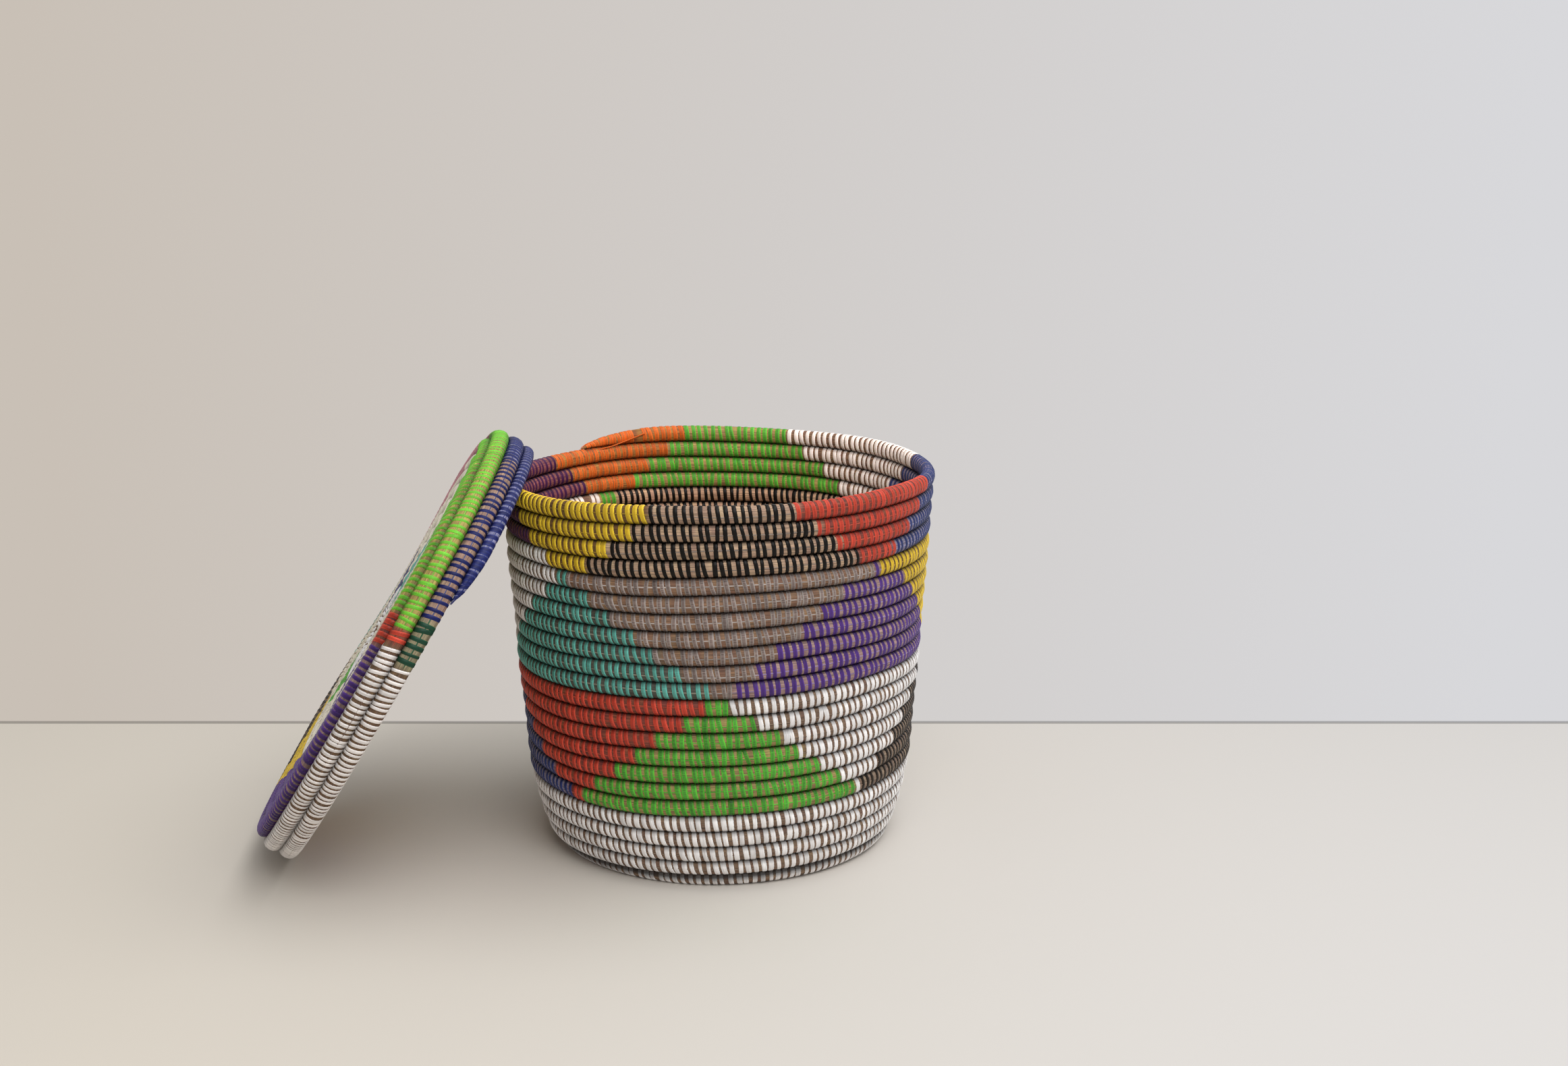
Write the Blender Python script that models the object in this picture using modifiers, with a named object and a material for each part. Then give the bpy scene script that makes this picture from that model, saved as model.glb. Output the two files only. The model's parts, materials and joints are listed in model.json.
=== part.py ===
"""A coiled grass basket with an overlapping lid that leans against its side.

Run it in Blender 4.5. Lengths are in metres and +Z is up. The origin is the middle of the basket's
underside, on the floor. The front is -Y, and the lid leans on the -X side.

Both halves are one long bundle of grass, wound round and round and sewn to itself row by row. So
each is drawn here as a tube that follows an outline, the meridian, which is the path that the rows
take from the middle of the base to the rim when the basket is cut through its axis. Every turn of
the coil lies one row away from the turn before it, and the tube thins out at its tail.
"""

import math

import bpy
import numpy as np
from mathutils import Matrix, Vector
from mathutils.bvhtree import BVHTree

# The coil that everything is wound from
row_pitch = 0.0110          # from the middle of one row to the middle of the next
row_gap = 0.0006            # air between two neighbouring rows
section_gap = 0.0003        # air where one length of the coil meets the next
points_per_turn = 16
coil_sides = 6
coil_radius = (row_pitch - row_gap) / 2
coil_half_height = coil_radius * math.cos(math.pi / coil_sides)

# The basket, at the middle line of its coil
basket_height = 0.2557      # floor to the top of the rim at the tail
mouth_radius = 0.1390
wall_lean = 0.0740          # how much wider the wall gets for each metre that it climbs
foot_height = 0.0750        # where the wall starts to round in towards the base
foot_round_end = 0.0010     # level at which that rounding would lie flat
foot_inset = 0.0172         # how far the rounding draws the wall in at most
tail_angle = math.radians(137.0)   # where the rim's tail ends, from +X towards +Y
tail_length = 0.0700
tail_tip_share = 0.32       # tip of a tail as a share of the coil's radius
rim_turns = 4
upper_pattern_turns = 7
lower_pattern_turns = 7
foot_turns = 5

# The lid, at the middle line of its coil and in its own frame, with its top facing +Z
lid_clearance = 0.0006      # air all round between the closed lid and the basket's rim
lid_dome = 0.0040           # how far the disc rises towards its middle
lid_edge_round = 0.0050     # bend from the disc into the side
lid_tail_angle = math.radians(-62.0)
lid_tail_length = 0.0900
lid_side_turns = 2
lid_side_depth = lid_side_turns * row_pitch
lid_radius = mouth_radius + row_pitch + lid_clearance

# The start of each coil: a wrapped knot in the middle, and a coil that thins towards it
knot_radius = 0.0050        # at least
knot_edge = 0.0012          # rounding of the knot's edges
knot_rings = 16
start_radius = 0.0240       # distance from the axis within which the coil gets thinner
start_tip_share = 0.50      # its first end as a share of the coil's radius
merge_distance = 0.0001
search_halvings = 30

# How the lid leans
lid_tilt = math.radians(58.5)      # between the lid's top and the floor
lid_heading = math.radians(6.6)    # way that it leans, from +X towards +Y
lid_side_step = -0.0035     # how far its middle lies to the left of that line
lean_gap = 0.0010           # how far it is drawn back from where it would touch the rim
lean_reach = 0.0400         # how far to either side the search for that place goes

colours = {
    "rim_coil": (0.80, 0.66, 0.15),
    "upper_pattern_coil": (0.33, 0.55, 0.52),
    "lower_pattern_coil": (0.25, 0.55, 0.15),
    "foot_coil": (0.80, 0.77, 0.72),
    "base_coil": (0.70, 0.62, 0.50),
    "base_start_knot": (0.55, 0.45, 0.32),
    "lid_rim_coil": (0.12, 0.16, 0.45),
    "lid_disc_coil": (0.30, 0.62, 0.20),
    "lid_start_knot": (0.55, 0.45, 0.32),
}


def clear_scene():
    for old in list(bpy.data.objects):
        bpy.data.objects.remove(old, do_unlink=True)


def make_collection(name):
    collection = bpy.data.collections.new(name)
    bpy.context.scene.collection.children.link(collection)
    return collection


def make_material(name):
    """A sewn plastic strip over grass: nearly matt, with a little shine."""
    material = bpy.data.materials.new(name)
    material.use_nodes = True
    shader = material.node_tree.nodes["Principled BSDF"]
    shader.inputs["Base Color"].default_value = (*colours[name], 1)
    shader.inputs["Roughness"].default_value = 0.55
    shader.inputs["Metallic"].default_value = 0
    return material


# Meridians: the path of the rows, as radius and height, with the length along it

class Meridian:
    def __init__(self, radii, heights):
        self.radii = np.asarray(radii)
        self.heights = np.asarray(heights)
        steps = np.hypot(np.diff(self.radii), np.diff(self.heights))
        self.lengths = np.concatenate([[0], np.cumsum(steps)])

    def at(self, length):
        radius = np.interp(length, self.lengths, self.radii)
        height = np.interp(length, self.lengths, self.heights)
        return np.array([radius, height])

    def slope(self, length):
        """Its angle from level, over one coil's width."""
        radii, heights = self.at(length + coil_radius) - self.at(length - coil_radius)
        return np.arctan2(heights, radii)


def wall_radius(height):
    """A straight wall that leans out a little, rounded in towards the floor at its foot."""
    straight = mouth_radius - wall_lean * (basket_height - coil_radius - height)
    fall = np.clip((foot_height - height) / (foot_height - foot_round_end), 0, 1)
    return straight - foot_inset * (1 - np.sqrt(1 - fall * fall))


def basket_meridian(samples=400):
    """The flat base from the axis outwards, then the wall up to the rim."""
    heights = np.linspace(coil_half_height, basket_height - coil_radius, samples)
    radii = wall_radius(heights)
    return Meridian([0, *radii], [coil_half_height, *heights])


def lid_meridian(samples=200):
    """The domed disc from the axis outwards, a rounded edge, then the side straight down."""
    flat_radius = lid_radius - lid_edge_round
    radii = np.linspace(0, flat_radius, samples)
    heights = lid_dome * (1 - (radii / flat_radius) ** 2)
    bend = np.linspace(0, math.pi / 2, samples)
    bend_radii = flat_radius + lid_edge_round * np.sin(bend)
    bend_heights = lid_edge_round * (np.cos(bend) - 1)
    return Meridian([*radii, *bend_radii, lid_radius], [*heights, *bend_heights, -lid_side_depth])


def coil_width(length):
    """The coil's radius at a distance along the meridian: it thins out near the axis."""
    inward = np.clip((start_radius - length) / (start_radius - knot_radius), 0, 1)
    return coil_radius * (1 - (1 - start_tip_share) * inward)


def next_row(meridian, length, side, apart):
    """The first place along the meridian that lies far enough from a row in a straight line.

    It is further out where side is 1 and further in where it is -1. How far is far enough may
    depend on the place.
    """
    here = meridian.at(length)
    near, far = length, length + side * 2 * row_pitch
    for _ in range(search_halvings):
        middle = (near + far) / 2
        if np.hypot(*(meridian.at(middle) - here)) < apart(middle):
            near = middle
        else:
            far = middle
    return far


def row_inside(meridian, length):
    own_width = coil_width(length)
    return next_row(meridian, length, -1, lambda place: own_width + coil_width(place) + row_gap)


def wind(meridian, start_angle, way, taper_length):
    """The whole coil from its tail to the knot: its angles, lengths along the meridian and radii."""
    step = 2 * math.pi / points_per_turn
    top = meridian.lengths[-1]
    lengths = [top - row_pitch * i / points_per_turn for i in range(points_per_turn)]
    innermost = knot_radius + section_gap + coil_width(knot_radius)
    inside = row_inside(meridian, lengths[0])
    while inside > innermost:
        lengths.append(inside)
        inside = row_inside(meridian, lengths[-points_per_turn])
    lengths = np.array(lengths)
    angles = start_angle + way * step * np.arange(len(lengths))
    along = meridian.at(top)[0] * step * np.arange(len(lengths))
    full = np.clip(along / taper_length, 0, 1)
    radii = coil_width(lengths) * (tail_tip_share + (1 - tail_tip_share) * np.sin(full * math.pi / 2))
    # A thinner tail lies closer to the row that carries it
    for i in range(points_per_turn):
        apart = radii[i] + radii[i + points_per_turn] + row_gap
        lengths[i] = next_row(meridian, lengths[i + points_per_turn], 1, lambda place: apart)
    return angles, lengths, radii


def coil_points(meridian, angles, lengths):
    """The points lie a little outside the true turn, because the straights between them cut inside."""
    radius, height = meridian.at(lengths)
    radius = radius * 2 / (1 + math.cos(math.pi / points_per_turn))
    return np.stack([radius * np.cos(angles), radius * np.sin(angles), height], -1)


def coil_turns(meridian, lengths, way, flat_below):
    """How far the tube's corners are turned about it, so that they face the neighbouring rows.

    Below a given height it isn't turned, so that it rests on the floor with a flat side.
    """
    lies_flat = meridian.at(lengths)[1] < flat_below
    return np.where(lies_flat, 0, way * meridian.slope(lengths))


# One length of the coil, as a tube

def half_way(points, here, there):
    """The place where a length of the coil ends, between two points and short of its neighbour."""
    start, end = Vector(points[here]), Vector(points[there])
    reach = (end - start).length / 2 - section_gap / 2
    return start + (end - start).normalized() * reach


def make_coil(name, collection, coil, first, last):
    """The tube round the coil's points from number first up to, and not with, number last."""
    path = [Vector(point) for point in coil["points"][first:last]]
    widths = list(coil["radii"][first:last])
    turns = list(coil["turns"][first:last])
    # Neighbouring lengths meet half way between two points, where the coil runs straight
    if first > 0:
        path.insert(0, half_way(coil["points"], first, first - 1))
        widths.insert(0, coil["radii"][first])
        turns.insert(0, coil["turns"][first])
    if last < len(coil["points"]):
        path.append(half_way(coil["points"], last - 1, last))
        widths.append(coil["radii"][last])
        turns.append(coil["turns"][last - 1])
    curve = bpy.data.curves.new(name, "CURVE")
    curve.dimensions = "3D"
    curve.twist_mode = "Z_UP"
    curve.bevel_depth = coil_radius
    curve.bevel_resolution = 1
    curve.use_fill_caps = True
    spline = curve.splines.new("POLY")
    spline.points.add(len(path) - 1)
    for point, place, width, turn in zip(spline.points, path, widths, turns):
        point.co = (*place, 1)
        point.radius = width / coil_radius
        point.tilt = turn
    curve.materials.append(make_material(name))
    coil = bpy.data.objects.new(name, curve)
    collection.objects.link(coil)
    return coil


def make_knot(name, collection, coil, bottom):
    """A turned button with rounded edges that fills what the innermost turn leaves open."""
    top = bottom + 2 * coil_half_height
    side = math.hypot(*coil["points"][-1][:2]) - coil["radii"][-1] - section_gap
    profile = [
        (0, top),
        (side - knot_edge, top),
        (side, top - knot_edge),
        (side, bottom + knot_edge),
        (side - knot_edge, bottom),
        (0, bottom),
    ]
    mesh = bpy.data.meshes.new(name)
    edges = [(i, i + 1) for i in range(len(profile) - 1)]
    mesh.from_pydata([(x, 0, z) for x, z in profile], edges, [])
    mesh.materials.append(make_material(name))
    knot = bpy.data.objects.new(name, mesh)
    collection.objects.link(knot)
    turn = knot.modifiers.new("turn", "SCREW")
    turn.angle = 2 * math.pi
    turn.steps = knot_rings
    turn.render_steps = knot_rings
    turn.use_merge_vertices = True
    turn.merge_threshold = merge_distance
    turn.use_smooth_shade = True
    return knot


def least_self_gap(coil):
    """The least air between points of the coil that are half a turn or more apart along it."""
    points, radii = coil["points"], coil["radii"]
    least = math.inf
    for i in range(len(points) - points_per_turn // 2):
        others = slice(i + points_per_turn // 2, None)
        air = np.linalg.norm(points[others] - points[i], axis=1) - radii[others] - radii[i]
        least = min(least, air.min())
    return least


def wound_coil(label, meridian, start_angle, way, taper_length, flat_below=-math.inf):
    angles, lengths, radii = wind(meridian, start_angle, way, taper_length)
    coil = {
        "points": coil_points(meridian, angles, lengths),
        "radii": radii,
        "turns": coil_turns(meridian, lengths, way, flat_below),
    }
    print(f"{label}: {len(lengths) / points_per_turn:.1f} turns,",
          f"least air to itself {1000 * least_self_gap(coil):.2f} mm")
    return coil


def make_basket(collection):
    coil = wound_coil("basket coil", basket_meridian(), tail_angle, -1, tail_length, coil_radius)
    start = 0
    for name, turns in (
        ("rim_coil", rim_turns),
        ("upper_pattern_coil", upper_pattern_turns),
        ("lower_pattern_coil", lower_pattern_turns),
        ("foot_coil", foot_turns),
    ):
        end = start + turns * points_per_turn
        make_coil(name, collection, coil, start, end)
        start = end
    make_coil("base_coil", collection, coil, start, len(coil["points"]))
    make_knot("base_start_knot", collection, coil, 0)


def make_lid(collection):
    """The lid in its own frame. An empty carries its pieces, so that one transform leans them."""
    coil = wound_coil("lid coil", lid_meridian(), lid_tail_angle, 1, lid_tail_length)
    end = lid_side_turns * points_per_turn
    pieces = [
        make_coil("lid_rim_coil", collection, coil, 0, end),
        make_coil("lid_disc_coil", collection, coil, end, len(coil["points"])),
        make_knot("lid_start_knot", collection, coil, lid_dome - coil_half_height),
    ]
    carrier = bpy.data.objects.new("lid_axis", None)
    collection.objects.link(carrier)
    for piece in pieces:
        piece.parent = carrier
    return carrier


# Leaning the lid: it stands on the floor and its side all but touches the basket's rim

def surface_of(pieces):
    """The corners and faces of several pieces taken as one surface."""
    graph = bpy.context.evaluated_depsgraph_get()
    corners, faces = [], []
    for piece in pieces:
        evaluated = piece.evaluated_get(graph)
        mesh = evaluated.to_mesh()
        first = len(corners)
        corners += [evaluated.matrix_world @ vertex.co for vertex in mesh.vertices]
        faces += [[first + i for i in face.vertices] for face in mesh.polygons]
        evaluated.to_mesh_clear()
    return corners, faces


def lean_matrix(distance, rise):
    """The lid turned to its tilt and heading, its middle that far from the basket's axis."""
    heading = Matrix.Rotation(lid_heading, 4, "Z")
    away = heading @ Vector((-distance, lid_side_step, 0))
    place = Matrix.Translation(away + Vector((0, 0, rise)))
    return place @ heading @ Matrix.Rotation(-lid_tilt, 4, "Y")


def lean_lid(carrier):
    """Lets the lid down to the floor, then moves it in until it all but touches the rim."""
    bpy.context.view_layer.update()
    corners, faces = surface_of(carrier.children)
    wall = [bpy.data.objects[name] for name in ("rim_coil", "upper_pattern_coil")]
    rim = BVHTree.FromPolygons(*surface_of(wall))
    rise = -min((lean_matrix(0, 0) @ corner).z for corner in corners)
    near = lid_radius * math.cos(lid_tilt) + mouth_radius - lean_reach
    far = near + 2 * lean_reach
    for _ in range(search_halvings):
        middle = (near + far) / 2
        moved = [lean_matrix(middle, rise) @ corner for corner in corners]
        if BVHTree.FromPolygons(moved, faces).overlap(rim):
            near = middle
        else:
            far = middle
    carrier.matrix_world = lean_matrix(far + lean_gap, rise)
    place = carrier.matrix_world.translation
    print("middle of the leaning lid, in mm:", [round(1000 * x, 1) for x in place])


clear_scene()
parts = make_collection("lidded_basket")
make_basket(parts)
lid_carrier = make_lid(parts)
lean_lid(lid_carrier)
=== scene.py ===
# %% [markdown]
# # A coiled basket and its lid, sewn in coloured strip
# The real basket is one long bundle of dry grass, wound in a spiral from the middle of the base up to
# the rim. Each row is sewn to the one before it with a flat plastic strip that passes round the new row
# every five millimetres. Blender could show that with a texture on a pot, but then the rows would have
# no depth at the outline. So the grass and every stitch are real shapes here, wound on the same path
# as the CAD coils.

import collections
import json
import math

import bmesh
import bpy
import numpy as np
from mathutils import Matrix, Vector

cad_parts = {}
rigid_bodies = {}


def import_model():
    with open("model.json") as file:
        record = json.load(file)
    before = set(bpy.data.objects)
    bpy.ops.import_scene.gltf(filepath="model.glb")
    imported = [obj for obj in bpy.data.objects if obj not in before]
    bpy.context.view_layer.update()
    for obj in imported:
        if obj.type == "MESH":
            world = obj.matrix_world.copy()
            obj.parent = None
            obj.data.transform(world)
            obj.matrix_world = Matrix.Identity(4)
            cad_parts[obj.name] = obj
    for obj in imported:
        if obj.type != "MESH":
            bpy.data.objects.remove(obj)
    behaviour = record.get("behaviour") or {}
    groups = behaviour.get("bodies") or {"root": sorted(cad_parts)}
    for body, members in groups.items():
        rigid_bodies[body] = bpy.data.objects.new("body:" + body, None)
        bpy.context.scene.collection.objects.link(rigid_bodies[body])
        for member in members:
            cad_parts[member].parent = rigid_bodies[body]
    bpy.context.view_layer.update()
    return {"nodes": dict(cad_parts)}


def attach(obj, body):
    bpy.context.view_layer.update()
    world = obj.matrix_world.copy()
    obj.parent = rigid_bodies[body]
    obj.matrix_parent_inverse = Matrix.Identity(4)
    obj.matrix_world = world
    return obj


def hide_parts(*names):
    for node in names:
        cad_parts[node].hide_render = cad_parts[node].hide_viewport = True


for startup_object in list(bpy.data.objects):
    bpy.data.objects.remove(startup_object)
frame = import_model()

# %% [markdown]
# ## The sizes of the coils
# These are the sizes that the CAD coils were wound with, in metres. They have to be repeated, because the
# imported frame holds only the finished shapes. The grass of one row is a little flatter than it is high,
# and the strip round it stands proud of it. The lid differs from the CAD in three ways, to come closer to
# the real one: the round of its edge is larger, its disc rises a little towards that edge where the CAD's
# falls, and its outermost row is thin over its first stretch.

# %% Sizes that the coils share
row_pitch = 0.0110
row_gap = 0.0006
section_gap = 0.0003
coil_radius = (row_pitch - row_gap) / 2
coil_sides = 6
coil_half_height = coil_radius * math.cos(math.pi / coil_sides)
points_per_turn = 96
search_halvings = 30
knot_radius = 0.0050
start_radius = 0.0240
start_tip_share = 0.50
tail_tip_share = 0.32
tip_length = 0.0120
tip_point_share = 0.15
tip_bluntness = 0.6
print("coil radius in mm", round(coil_radius * 1000, 2))

# %% Sizes of the basket
basket_height = 0.2557
mouth_radius = 0.1390
wall_lean = 0.0740
foot_height = 0.0750
foot_round_end = 0.0010
foot_inset = 0.0172
tail_angle = math.radians(137.0)
tail_length = 0.0700

# %% Sizes of the lid
lid_clearance = 0.0006
lid_dome = 0.0040
lid_edge_round = 0.0080
lid_shoulder = 0.0065
lid_side_depth = 2 * row_pitch
lid_radius = mouth_radius + row_pitch + lid_clearance
lid_tail_angle = math.radians(-62.0)
lid_tail_length = 0.0900
lid_thin_share = 0.70
thin_length = 0.22
lid_tilt = math.radians(58.5)
lid_heading = math.radians(6.6)
print("lid radius in mm", round(lid_radius * 1000, 1))

# %% [markdown]
# ## The line from the middle to the edge
# Cut the basket in half and one line shows where the rows lie: along the base, round the foot and up the
# wall. The lid has such a line as well. A class holds it as a list of radii and heights with the length
# walked so far, so that a row can be found by that length.


# %% Meridian
class Meridian:
    """The line that the rows follow, from the middle outwards."""

    def __init__(self, radii, heights):
        self.radii = np.array(radii)
        self.heights = np.array(heights)
        steps = np.hypot(np.diff(self.radii), np.diff(self.heights))
        self.lengths = np.concatenate([[0.0], np.cumsum(steps)])

    def at(self, length):
        return (
            np.interp(length, self.lengths, self.radii),
            np.interp(length, self.lengths, self.heights),
        )

    def slope(self, length):
        near_radius, near_height = self.at(length - coil_radius)
        far_radius, far_height = self.at(length + coil_radius)
        return np.arctan2(far_height - near_height, far_radius - near_radius)


def wall_radius(height):
    straight = mouth_radius - wall_lean * (basket_height - coil_radius - height)
    fall = np.clip((foot_height - height) / (foot_height - foot_round_end), 0, 1)
    return straight - foot_inset * (1 - np.sqrt(1 - fall * fall))


# %% The two lines
wall_samples = 400
heights = np.linspace(coil_half_height, basket_height - coil_radius, wall_samples)
basket_line = Meridian([0, *wall_radius(heights)], [coil_half_height, *heights])
lid_samples = 200
flat_radius = lid_radius - lid_edge_round
flat = np.linspace(0, flat_radius, lid_samples)
bend = np.linspace(0, math.pi / 2, lid_samples)
lid_line = Meridian(
    [*flat, *(flat_radius + lid_edge_round * np.sin(bend)), lid_radius],
    [
        *(lid_dome + (lid_shoulder - lid_dome) * (flat / flat_radius) ** 2),
        *(lid_shoulder + lid_edge_round * (np.cos(bend) - 1)),
        -lid_side_depth,
    ],
)
print("line lengths in mm", basket_line.lengths[-1] * 1000, lid_line.lengths[-1] * 1000)

# %% [markdown]
# ## Winding
# Every piece of the coil is first modelled straight: x runs along the coil, y points out of the surface
# and z points towards the next row out. `Winding.place` then bends that straight space round the spiral.
# A Curve modifier could bend a mesh too, but it knows nothing of the wall's slope and it twists at the
# foot, while this mapping keeps each stitch square to its row.


# %% The way a row finds its neighbour
def coil_width(length):
    """Half of a row's width, which falls near the start of the coil."""
    inward = np.clip((start_radius - length) / (start_radius - knot_radius), 0, 1)
    return coil_radius * (1 - (1 - start_tip_share) * inward)


def row_beside(line, length, reach, apart_at):
    """The place on the line, within reach, at the wanted straight distance from this one."""
    near, far = length, length + reach
    radius, height = line.at(length)
    for _ in range(search_halvings):
        middle = (near + far) / 2
        other_radius, other_height = line.at(middle)
        if math.hypot(other_radius - radius, other_height - height) < apart_at(middle):
            near = middle
        else:
            far = middle
    return far


def row_inside(line, length):
    own = coil_width(length)
    return row_beside(line, length, -2 * row_pitch, lambda other: own + coil_width(other) + row_gap)


def row_outside(line, length, apart):
    return row_beside(line, length, 2 * row_pitch, lambda other: apart)


# %% Uneven as hand work is: the basket
wall_oval, wall_lobes, wall_dents = 0.0009, 0.0006, 0.0004
row_waves, row_ripples = 0.0008, 0.0005


def basket_sway(points):
    """The wall wanders in and out and its rows up and down, and not at all at the floor."""
    x, y, z = points.T
    angle = np.arctan2(y, x)
    rise = np.clip(z / foot_height, 0, 1)
    radius = np.hypot(x, y)
    # The number before the angle counts waves round the wall, and the one before z is radians a metre.
    outward = wall_oval * np.sin(2 * angle) + wall_lobes * np.sin(3 * angle) * np.cos(22 * z)
    outward += wall_dents * np.sin(7 * angle) * np.sin(90 * z)
    upward = row_waves * np.sin(2 * angle + 2.1 + 9 * z) + row_ripples * np.sin(5 * angle + 42 * z)
    grown = 1 + rise * outward / np.maximum(radius, knot_radius)
    return np.column_stack([x * grown, y * grown, z + rise * upward])


# %% Uneven as hand work is: the lid
lid_bow, lid_roll, lid_sag, lid_wander = 0.0012, 0.0026, 0.0045, 0.0004
sag_narrowness = 2.2


def lid_bend(points):
    """The lid has bowed and rolled a few millimetres, and its far edge has sunk."""
    x, y, z = points.T
    along, aside = x / lid_radius, y / lid_radius
    away = -lid_bow * np.sign(along) * along**2
    roll = lid_roll * aside
    sag = lid_sag * np.clip(aside, 0, 1) ** 2 * np.clip(1 - sag_narrowness * along**2, 0, 1)
    wander = lid_wander * np.sin(3 * np.arctan2(y, x) + 1.0) * np.hypot(along, aside)
    moved_x = x - away * math.cos(lid_tilt)
    moved_z = z + away * math.sin(lid_tilt) - roll - sag + wander
    return np.column_stack([moved_x, y, moved_z])


# %% The winding itself
class Winding:
    """One coil, from its tail at the outer edge to its start in the middle.

    The way is 1 for a coil that runs anticlockwise from its tail, seen from above, and -1 otherwise.
    """

    def __init__(self, line, start_angle, way, taper_length, unevenness, matrix, thin_share, crease):
        self.matrix = np.array(matrix)
        # crease sets how dark the painted shade in this coil's creases is.
        self.crease = crease
        self.unevenness = unevenness
        self.way = way
        self.start_angle = start_angle
        top = line.lengths[-1]
        lengths = [top - row_pitch * i / points_per_turn for i in range(points_per_turn)]
        innermost = knot_radius + section_gap + coil_width(knot_radius)
        while True:
            found = row_inside(line, lengths[-points_per_turn])
            if found < innermost:
                break
            lengths.append(found)
        lengths = np.array(lengths)
        turned = 2 * math.pi * np.arange(len(lengths)) / points_per_turn
        walked = line.at(top)[0] * turned
        # The tail grows to a full row over its taper, and its very tip is rounded off.
        full = np.clip(walked / taper_length, 0, 1)
        taper = tail_tip_share + (1 - tail_tip_share) * np.sin(full * math.pi / 2)
        tip = np.clip(walked / tip_length, 0, 1) ** tip_bluntness
        taper = taper * (tip_point_share + (1 - tip_point_share) * tip)
        thinned = thin_share + (1 - thin_share) * np.clip(walked / thin_length - 1, 0, 1)
        half_widths = coil_width(lengths) * np.minimum(taper, thinned)
        # A thinner outermost row lies closer to the row under it.
        for i in range(points_per_turn):
            under = i + points_per_turn
            apart = half_widths[i] + half_widths[under] + row_gap
            lengths[i] = row_outside(line, lengths[under], apart)
        self.turned = turned
        self.radius, self.height = line.at(lengths)
        slope = line.slope(lengths)
        self.slope_cos, self.slope_sin = np.cos(slope), np.sin(slope)
        self.share = half_widths / coil_radius
        around = self.radius * np.cos(turned), self.radius * np.sin(turned), self.height
        steps = np.linalg.norm(np.diff(np.array(around), axis=1), axis=0)
        self.arc = np.concatenate([[0.0], np.cumsum(steps)])
        self.end = self.arc[-1]
        self.turns = turned[-1] / (2 * math.pi)

    def turn_at(self, x):
        return np.interp(x, self.arc, self.turned) / (2 * math.pi)

    def x_at(self, turn):
        return float(np.interp(turn * 2 * math.pi, self.turned, self.arc))

    def place(self, points):
        """Bends straight points (along, out, across) round the coil."""
        x, out, across = np.asarray(points, float).T
        share = np.interp(x, self.arc, self.share)
        cos = np.interp(x, self.arc, self.slope_cos)
        sin = np.interp(x, self.arc, self.slope_sin)
        # Out is below the basket's line and above the lid's, and the two are wound opposite ways.
        out_radial, out_up = (sin, -cos) if self.way < 0 else (-sin, cos)
        out, across = out * share, across * share
        radial = np.interp(x, self.arc, self.radius) + out * out_radial + across * cos
        up = np.interp(x, self.arc, self.height) + out * out_up + across * sin
        angle = self.start_angle + self.way * np.interp(x, self.arc, self.turned)
        placed = np.column_stack([radial * np.cos(angle), radial * np.sin(angle), up])
        placed = self.unevenness(placed)
        return placed @ self.matrix[:3, :3].T + self.matrix[:3, 3]


# %% Where the lid leans
lid_turn = Matrix.Rotation(lid_heading, 4, "Z") @ Matrix.Rotation(-lid_tilt, 4, "Y")
knot_points = np.array([v.co for v in frame["nodes"]["lid_start_knot"].data.vertices])
in_lid = knot_points @ np.array(lid_turn)[:3, :3]
knot_middle = Vector((in_lid.min(0) + in_lid.max(0)) / 2) - Vector((0, 0, lid_dome))
lid_matrix = Matrix.Translation(lid_turn @ knot_middle) @ lid_turn
print("lid middle in mm", [round(v * 1000, 1) for v in lid_matrix.translation])

# %% The two coils
upright = Matrix.Identity(4)
# How dark the painted shade in the creases between rows is: the lid's is lighter.
basket_crease_shade, lid_crease_shade = 1.0, 0.6
basket_coil = Winding(basket_line, tail_angle, -1, tail_length, basket_sway, upright, 1.0, basket_crease_shade)
lid_coil = Winding(
    lid_line, lid_tail_angle, 1, lid_tail_length, lid_bend, lid_matrix, lid_thin_share, lid_crease_shade
)
print("turns", round(basket_coil.turns, 2), round(lid_coil.turns, 2))
print("coil lengths in m", round(basket_coil.end, 2), round(lid_coil.end, 2))

# %% [markdown]
# ## The colours and their pattern
# The maker changes the strip's colour as the work goes round. Where a colour is kept a few stitches
# longer on each row, a stepped triangle grows. So the pattern is a rule and not a picture: each patch has
# a middle angle, and it spreads by a fixed angle with every row. Angles are measured in degrees round
# from the front of the basket and from the +X side of the lid, with plus anticlockwise.


# %% Colours
def linear(hex_colour):
    """An sRGB hex colour as linear red, green and blue."""
    channels = [int(hex_colour[i : i + 2], 16) / 255 for i in (1, 3, 5)]
    return [c / 12.92 if c <= 0.04045 else ((c + 0.055) / 1.055) ** 2.4 for c in channels]


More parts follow.
